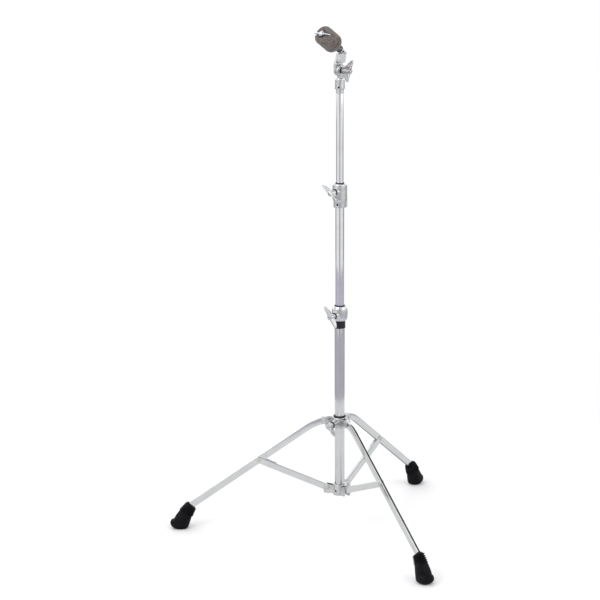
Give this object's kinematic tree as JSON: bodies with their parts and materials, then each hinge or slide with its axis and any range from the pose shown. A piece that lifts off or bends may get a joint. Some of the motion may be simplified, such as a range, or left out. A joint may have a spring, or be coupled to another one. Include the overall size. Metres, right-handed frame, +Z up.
{
  "type": "cymbal stand",
  "caption": "Straight cymbal stand: folding single-braced tripod, two sliding tubes with wing-bolt clamps, and a tilter holding a felt-padded rod.",
  "frame": {"origin": "middle of the whole part's footprint, on the floor", "axes": "+Z up along the tubes, -X towards the left leg, -Y towards the viewer of the picture"},
  "size_m": [0.577, 0.6614, 1.1196],
  "materials": {
    "chrome": "bright chrome plating",
    "cast_chrome": "satin chrome-plated casting",
    "rivet_steel": "plain plated steel",
    "dark_plating": "dark plated steel",
    "black_nylon": "black nylon, slightly purple",
    "black_rubber": "matt black moulded rubber",
    "grey_felt": "grey-brown pressed wool felt"
  },
  "bodies": {
    "base": {"lower_tube": "chrome", "tube_sleeve": "black_nylon", "lower_clamp": "cast_chrome", "lower_clamp_bush": "black_nylon", "lower_collar": "cast_chrome", "lower_collar_screw": "dark_plating", "lower_wing_bolt_washer": "black_nylon", "strut_pin_left": "rivet_steel", "strut_pin_front": "rivet_steel", "strut_pin_rear": "rivet_steel"},
    "lower_wing_bolt": {"lower_wing_bolt": "chrome"},
    "leg_collar": {"leg_collar": "cast_chrome", "leg_collar_ring": "black_nylon", "leg_wing_bolt_washer": "black_nylon", "leg_pin_left": "rivet_steel", "leg_pin_front": "rivet_steel", "leg_pin_rear": "rivet_steel"},
    "leg_wing_bolt": {"leg_wing_bolt": "chrome"},
    "leg_left": {"leg_left": "chrome", "foot_left": "black_rubber"},
    "leg_front": {"leg_front": "chrome", "foot_front": "black_rubber"},
    "leg_rear": {"leg_rear": "chrome", "foot_rear": "black_rubber"},
    "strut_left": {"strut_left": "chrome", "brace_rivet_left_a": "rivet_steel", "brace_rivet_left_b": "rivet_steel"},
    "strut_front": {"strut_front": "chrome", "brace_rivet_front_a": "rivet_steel", "brace_rivet_front_b": "rivet_steel"},
    "strut_rear": {"strut_rear": "chrome", "brace_rivet_rear_a": "rivet_steel", "brace_rivet_rear_b": "rivet_steel"},
    "middle_tube": {"middle_tube": "chrome", "upper_clamp": "cast_chrome", "upper_clamp_bush": "black_nylon", "upper_clamp_screw": "dark_plating", "upper_wing_bolt_washer": "black_nylon"},
    "upper_wing_bolt": {"upper_wing_bolt": "chrome"},
    "upper_tube": {"upper_tube": "chrome"},
    "tilter_base": {"tilter_base": "cast_chrome", "tilter_base_screw": "dark_plating", "tilter_bolt": "rivet_steel", "tilter_washer": "black_nylon"},
    "tilter_wing_nut": {"tilter_wing_nut": "dark_plating"},
    "tilter_head": {"tilter_head": "cast_chrome", "tilter_head_screw": "dark_plating", "cymbal_rod": "chrome", "seat_ring": "black_nylon", "cup_washer": "chrome", "cymbal_sleeve": "black_nylon", "lower_felt": "grey_felt"},
    "upper_felt": {"upper_felt": "grey_felt"},
    "top_wing_nut": {"top_wing_nut": "chrome"}
  },
  "joints": [
    {"name": "leg_collar_slide", "type": "slide", "parent": "base", "child": "leg_collar", "axis": [0, 0, 1], "range_m": [0, 0.18144]},
    {"name": "leg_left_hinge", "type": "hinge", "parent": "leg_collar", "child": "leg_left", "pos_m": [0.05908, 0, 0.255], "axis": [0, -1, 0], "range_deg": [0, 53.51]},
    {"name": "leg_front_hinge", "type": "hinge", "parent": "leg_collar", "child": "leg_front", "pos_m": [0.10708, -0.02771, 0.255], "axis": [0.866, 0.5, 0], "range_deg": [0, 53.51]},
    {"name": "leg_rear_hinge", "type": "hinge", "parent": "leg_collar", "child": "leg_rear", "pos_m": [0.10708, 0.02771, 0.255], "axis": [-0.866, 0.5, 0], "range_deg": [0, 53.51]},
    {"name": "strut_left_hinge", "type": "hinge", "parent": "base", "child": "strut_left", "pos_m": [0.06348, 0, 0.099], "axis": [0, 1, 0], "range_deg": [0, 61.48]},
    {"name": "strut_front_hinge", "type": "hinge", "parent": "base", "child": "strut_front", "pos_m": [0.10488, -0.0239, 0.099], "axis": [-0.866, -0.5, 0], "range_deg": [0, 61.48]},
    {"name": "strut_rear_hinge", "type": "hinge", "parent": "base", "child": "strut_rear", "pos_m": [0.10488, 0.0239, 0.099], "axis": [0.866, -0.5, 0], "range_deg": [0, 61.48]},
    {"name": "leg_wing_bolt_turn", "type": "hinge", "parent": "leg_collar", "child": "leg_wing_bolt", "pos_m": [0.07382, -0.02466, 0.25], "axis": [-0.5736, -0.8192, 0], "range_deg": [0, 720]},
    {"name": "lower_wing_bolt_turn", "type": "hinge", "parent": "base", "child": "lower_wing_bolt", "pos_m": [0.07812, -0.01851, 0.4955], "axis": [-0.5736, -0.8192, 0], "range_deg": [0, 720]},
    {"name": "middle_tube_slide", "type": "slide", "parent": "base", "child": "middle_tube", "axis": [0, 0, 1], "range_m": [-0.211, 0.145]},
    {"name": "upper_wing_bolt_turn", "type": "hinge", "parent": "middle_tube", "child": "upper_wing_bolt", "pos_m": [0.07909, -0.01712, 0.767], "axis": [-0.5736, -0.8192, 0], "range_deg": [0, 720]},
    {"name": "upper_tube_slide", "type": "slide", "parent": "middle_tube", "child": "upper_tube", "axis": [0, 0, 1], "range_m": [-0.199, 0.17]},
    {"name": "tilter_swivel", "type": "hinge", "parent": "upper_tube", "child": "tilter_base", "pos_m": [0.09108, 0, 0.996], "axis": [0, 0, 1], "range_deg": [-180, 180]},
    {"name": "tilter_tilt", "type": "hinge", "parent": "tilter_base", "child": "tilter_head", "pos_m": [0.09108, 0, 1.026], "axis": [0.7071, -0.7071, 0], "range_deg": [-55.5, 34.5]},
    {"name": "tilter_wing_nut_turn", "type": "hinge", "parent": "tilter_base", "child": "tilter_wing_nut", "pos_m": [0.09744, -0.00636, 1.026], "axis": [0.7071, -0.7071, 0], "range_deg": [0, 720]},
    {"name": "upper_felt_lift", "type": "slide", "parent": "tilter_head", "child": "upper_felt", "axis": [-0.5827, -0.5827, 0.5664], "range_m": [0, 0.038]},
    {"name": "top_wing_nut_turn", "type": "hinge", "parent": "upper_felt", "child": "top_wing_nut", "pos_m": [0.05536, -0.03572, 1.10432], "axis": [-0.5827, -0.5827, 0.5664], "range_deg": [0, 720]}
  ],
  "couplings": [
    {"joint": "leg_left_hinge", "follows": "leg_collar_slide", "rad_per_m": 5.1463},
    {"joint": "leg_front_hinge", "follows": "leg_collar_slide", "rad_per_m": 5.1463},
    {"joint": "leg_rear_hinge", "follows": "leg_collar_slide", "rad_per_m": 5.1463},
    {"joint": "strut_left_hinge", "follows": "leg_collar_slide", "rad_per_m": 5.9126},
    {"joint": "strut_front_hinge", "follows": "leg_collar_slide", "rad_per_m": 5.9126},
    {"joint": "strut_rear_hinge", "follows": "leg_collar_slide", "rad_per_m": 5.9126}
  ]
}
